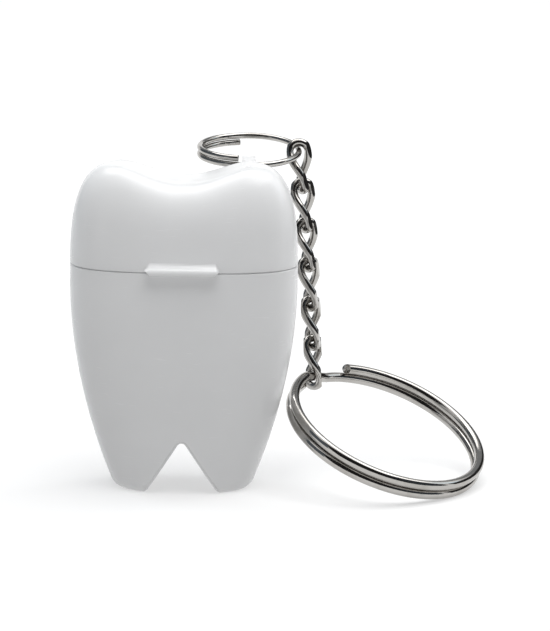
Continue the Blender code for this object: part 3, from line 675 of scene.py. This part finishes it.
def make_chain():
    form = link_mesh()
    for index, name in enumerate(CHAIN):
        add_piece(f"{name}_skin", form.copy(), link_frame(index), name)
    bpy.data.meshes.remove(form)


def key_ring_frame():
    """The key ring's own frame: it hangs in the last link and lies on the ground."""
    last = LINKS - 1
    seat = link_middle(last) + link_way(last) * hang(KEY_WIRE)
    slope = 0.0
    for _ in range(SLOPE_ROUNDS):
        drop = seat.z - KEY_SPACING / 2 * math.cos(slope) - KEY_WIRE / 2
        slope = math.asin(drop / (KEY_RADIUS * (1 + math.cos(KEY_PLACE))))
    heading = on_circle(1, KEY_HEADING)
    downhill = heading * math.cos(slope) - Vector((0, 0, math.sin(slope)))
    side = Vector((0, 0, 1)).cross(heading)
    turn = Matrix((downhill, side, downhill.cross(side))).transposed().to_4x4()
    held = on_circle(1, math.pi + KEY_PLACE) * KEY_RADIUS
    return Matrix.Translation(seat - turn @ held) @ turn


def make_key_ring():
    """Nearly two turns, which climb where the last link holds the ring."""
    held = math.pi + KEY_PLACE
    points = coil(
        KEY_RADIUS, held - 2 * math.pi + KEY_LOWER_SPARE, held + 2 * math.pi - KEY_UPPER_SPARE,
        KEY_SPACING, held - KEY_CLIMB, held + KEY_CLIMB, KEY_STEPS,
    )
    place = key_ring_frame()
    bm, mesh = wire_mesh("key_split_ring", points, KEY_WIRE / 2, resolution=7)
    shear_end(bm, points[-1], points[-2], KEY_WIRE / 2, place)
    soften(bm, KEY_CRISPNESS)
    add_piece("key_split_ring_skin", finish_mesh(bm, mesh), place, "key_split_ring")


for name in frame["nodes"]:
    if name not in WIRED:
        smooth_copy(name)
make_chain()
make_small_ring()
make_key_ring()


# Stage and lights

# The middle of the object, which the cards and lights face
MIDDLE = Vector((0, 0, 22)) * MM
FLOOR_SIZE = (8, 8)
FLOOR_WHITE = (0.93, 0.93, 0.93, 1)
FLOOR_BOUNCE = (0.54, 0.54, 0.54, 1)
FLOOR_LIFT = 0.45
SUN_POWER = 2.68
SUN_SPREAD = math.radians(60)
SUN_TILT = math.radians(6)
SKY_COLOUR = (0.94, 0.97, 1.0, 1)
SKY_STRENGTH = 0.2
COOL_WHITE = (0.86, 0.94, 1.0)


def add_stage_mesh(name, size, material):
    """A flat sheet of the stage, around the origin."""
    bm = bmesh.new()
    bmesh.ops.create_grid(bm, x_segments=1, y_segments=1, size=0.5)
    bmesh.ops.scale(bm, vec=(*size, 1), verts=bm.verts)
    mesh = bpy.data.meshes.new(name)
    bm.to_mesh(mesh)
    bm.free()
    mesh.materials.append(material)
    made = bpy.data.objects.new(name, mesh)
    scene.collection.objects.link(made)
    return made


def turn_to_middle(thing, place, face):
    """Places a card or a light, its face's axis towards the middle of the object."""
    thing.location = place
    thing.rotation_mode = "QUATERNION"
    thing.rotation_quaternion = (MIDDLE - Vector(place)).to_track_quat(face, "Y")


def shows(thing, diffuse, glossy, shadow):
    """Says which rays meet a card or a light; the camera never sees one."""
    thing.visible_camera = False
    thing.visible_diffuse = diffuse
    thing.visible_glossy = glossy
    thing.visible_transmission = glossy
    thing.visible_shadow = shadow


def add_light(name, kind, power):
    data = bpy.data.lights.new(name, kind)
    data.energy = power
    made = bpy.data.objects.new(name, data)
    scene.collection.objects.link(made)
    shows(made, diffuse=True, glossy=False, shadow=True)
    return made


def add_area_light(name, size, place, power, colour=(1, 1, 1)):
    made = add_light(name, "AREA", power)
    made.data.shape = "RECTANGLE"
    made.data.size, made.data.size_y = size
    made.data.color = colour
    turn_to_middle(made, place, "-Z")


def glow(name, colour, strength):
    material, tree = blank_material(name)
    tree.nodes.remove(tree.nodes["Principled BSDF"])
    shine = node(tree, "ShaderNodeEmission", (0, 0), Strength=strength, Color=(*colour, 1))
    link(tree, (shine.outputs[0], tree.nodes["Material Output"].inputs["Surface"]))
    return material


def add_card(name, size, place, material):
    """A flat card that only the metal mirrors."""
    made = add_stage_mesh(name, size, material)
    turn_to_middle(made, place, "Z")
    shows(made, diffuse=False, glossy=True, shadow=False)


def seen_directly(tree, place):
    """One for what the camera sees, straight or in a mirror, and zero for other light."""
    path = node(tree, "ShaderNodeLightPath", (place[0] - 200, place[1]))
    either = node(tree, "ShaderNodeMath", place, operation="MAXIMUM")
    link(
        tree,
        (path.outputs["Is Camera Ray"], either.inputs[0]),
        (path.outputs["Is Glossy Ray"], either.inputs[1]),
    )
    return either.outputs[0]


def floor_material():
    """A white surface that keeps the shadow and throws an even light back up."""
    material, tree = blank_material("floor_white")
    shader = tree.nodes["Principled BSDF"]
    shader.inputs["Roughness"].default_value = 0.9
    shader.inputs["Specular IOR Level"].default_value = 0.0
    shader.inputs["Base Color"].default_value = FLOOR_WHITE
    white = node(tree, "ShaderNodeEmission", (-100, -200), Strength=1.0)
    face = node(tree, "ShaderNodeMixShader", (100, 0))
    face.inputs[0].default_value = FLOOR_LIFT
    bounce = node(tree, "ShaderNodeEmission", (100, -200), Strength=1.0, Color=FLOOR_BOUNCE)
    mix = node(tree, "ShaderNodeMixShader", (300, 0))
    link(
        tree,
        (shader.outputs[0], face.inputs[1]),
        (white.outputs[0], face.inputs[2]),
        (seen_directly(tree, (-300, 300)), mix.inputs[0]),
        (bounce.outputs[0], mix.inputs[1]),
        (face.outputs[0], mix.inputs[2]),
        (mix.outputs[0], tree.nodes["Material Output"].inputs["Surface"]),
    )
    return material


def make_world():
    """White to the camera and in the metal, and a dim sky to everything else."""
    world = bpy.data.worlds.new("studio")
    scene.world = world
    world.use_nodes = True
    tree = world.node_tree
    seen = tree.nodes["Background"]
    seen.inputs["Color"].default_value = (1, 1, 1, 1)
    seen.inputs["Strength"].default_value = 1.0
    sky = node(tree, "ShaderNodeBackground", (0, -150), Color=SKY_COLOUR, Strength=SKY_STRENGTH)
    mix = node(tree, "ShaderNodeMixShader", (250, 0))
    link(
        tree,
        (seen_directly(tree, (-200, 200)), mix.inputs[0]),
        (sky.outputs[0], mix.inputs[1]),
        (seen.outputs[0], mix.inputs[2]),
        (mix.outputs[0], tree.nodes["World Output"].inputs["Surface"]),
    )


add_stage_mesh("floor", FLOOR_SIZE, floor_material())

sun = add_light("overhead", "SUN", SUN_POWER)
sun.data.angle = SUN_SPREAD
sun.rotation_euler = (SUN_TILT, SUN_TILT, 0)
# Area lights: name, width and height, place, power
add_area_light("right_light", (0.25, 0.5), (0.45, 0.25, 0.22), 1.1)
add_area_light("left_light", (0.2, 0.5), (-0.45, 0.30, 0.22), 0.75, COOL_WHITE)
add_area_light("front_light", (0.8, 0.2), (0, -0.7, 0.12), 0.5)

# Cards: name, width and height, place, glow
for card in (
    ("softbox", (0.7, 0.35), (0.05, 0.12, 0.5), glow("softbox_white", (1, 1, 1), 3.2)),
    ("side_box", (0.12, 0.5), (0.5, 0.12, 0.2), glow("side_blue_white", (0.78, 0.91, 1.0), 1.7)),
    ("card_front", (1.6, 0.90), (0.0, -0.6, 0.43), glow("front_dark", (0.02, 0.02, 0.02), 1.0)),
    ("card_left", (1.1, 0.7), (-0.55, 0.05, 0.33), glow("blue_grey_card", (0.12, 0.14, 0.16), 1.0)),
    ("card_right", (0.5, 0.7), (0.55, -0.28, 0.33), glow("right_dark", (0.05, 0.06, 0.07), 1.0)),
    ("card_back", (1.4, 0.35), (0.0, 0.65, 0.50), glow("back_grey", (0.30, 0.31, 0.32), 1.0)),
    ("card_low", (0.34, 0.12), (0.19, 0.13, 0.06), glow("low_dark", (0.03, 0.03, 0.03), 1.0)),
):
    add_card(*card)

make_world()


# Camera, at the photograph's height, distance and slight roll

LENS = 166.6
SENSOR = 36
CAMERA_HEIGHT = math.radians(12)
CAMERA_ROLL = math.radians(0.8)
CAMERA_DISTANCE = 0.3912
NEAREST = 0.01
FURTHEST = 20
LOOK_AT = CASE + Vector((12.22, 0, 23.56)) * MM

camera_data = bpy.data.cameras.new("camera")
camera_data.lens = LENS
camera_data.sensor_width = SENSOR
camera_data.clip_start = NEAREST
camera_data.clip_end = FURTHEST
camera = bpy.data.objects.new("camera", camera_data)
scene.collection.objects.link(camera)
scene.camera = camera
back = Vector((0, -math.cos(CAMERA_HEIGHT), math.sin(CAMERA_HEIGHT)))
roll = Matrix.Rotation(CAMERA_ROLL, 3, "Z").to_quaternion()
camera.location = LOOK_AT + back * CAMERA_DISTANCE
camera.rotation_mode = "QUATERNION"
camera.rotation_quaternion = (-back).to_track_quat("-Z", "Y") @ roll

scene.view_settings.view_transform = "Standard"
